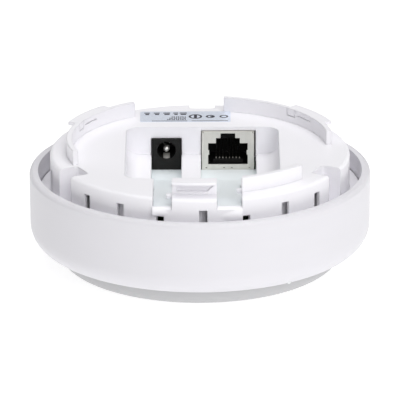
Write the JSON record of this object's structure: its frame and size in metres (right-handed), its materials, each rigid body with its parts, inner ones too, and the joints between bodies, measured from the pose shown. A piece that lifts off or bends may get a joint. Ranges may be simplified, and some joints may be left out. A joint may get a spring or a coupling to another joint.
{
  "type": "ceiling access point",
  "caption": "Round white ceiling wireless access point lying on its front face, with a bayonet hub, a network socket, a power jack and lined cable channels.",
  "frame": {"origin": "centre of the flat front face, which is the lowest face as modelled", "axes": "+Z from the front face to the ceiling side; -Y is the side where the leads leave; the ports open towards -Y"},
  "size_m": [0.103, 0.103, 0.0391],
  "materials": {
    "white_plastic": "satin moulded",
    "housing_plastic": "fine moulded texture",
    "cap_plastic": "satin moulded, lets a little light through",
    "tray_plastic": "pale green-white, satin",
    "label_film": null,
    "socket_steel": "nickel-plated sheet",
    "black_plastic": "moulded, semi-gloss",
    "contact_gold": "gold flash on phosphor bronze",
    "contact_nickel": "nickel-plated brass",
    "board_laminate": "green solder mask on glass laminate",
    "chip_resin": "moulded epoxy",
    "can_steel": "tinned sheet",
    "pad_silicone": "soft filled silicone",
    "sink_aluminium": "extruded, clear anodised",
    "ferrite": "pressed ferrite powder",
    "capacitor_sleeve": "aluminium can",
    "led_resin": "clear resin over a lamp chip",
    "clear_plastic": "moulded clear acrylic",
    "button_plastic": "moulded",
    "screw_steel": "zinc-plated"
  },
  "bodies": {
    "unit": {"outer_cover": "white_plastic", "front_cap": "cap_plastic", "rear_housing": "housing_plastic", "cable_tray": "tray_plastic", "rating_label": "label_film", "rj45_shield": "socket_steel", "rj45_housing": "black_plastic", "rj45_contacts": "contact_gold", "power_jack_housing": "black_plastic", "power_jack_pin": "contact_nickel", "power_jack_spring": "contact_nickel", "main_board": "board_laminate", "processor": "chip_resin", "memory_chip": "chip_resin", "flash_chip": "chip_resin", "crystal": "can_steel", "regulator_chip": "chip_resin", "thermal_pad": "pad_silicone", "heat_sink": "sink_aluminium", "radio_shield": "can_steel", "ethernet_transformer": "chip_resin", "power_inductor": "ferrite", "bulk_capacitors": "capacitor_sleeve", "left_antenna": "contact_nickel", "right_antenna": "contact_nickel", "status_led": "led_resin", "light_pipe": "clear_plastic", "reset_switch": "can_steel", "board_screws": "screw_steel", "cover_screws": "screw_steel"},
    "reset_key": {"reset_switch_plunger": "black_plastic", "reset_button": "button_plastic"}
  },
  "joints": [
    {"name": "reset_press", "type": "slide", "parent": "unit", "child": "reset_key", "axis": [0, 0, -1], "range_m": [0, 0.0004], "stiffness_N_per_m": 3000}
  ]
}
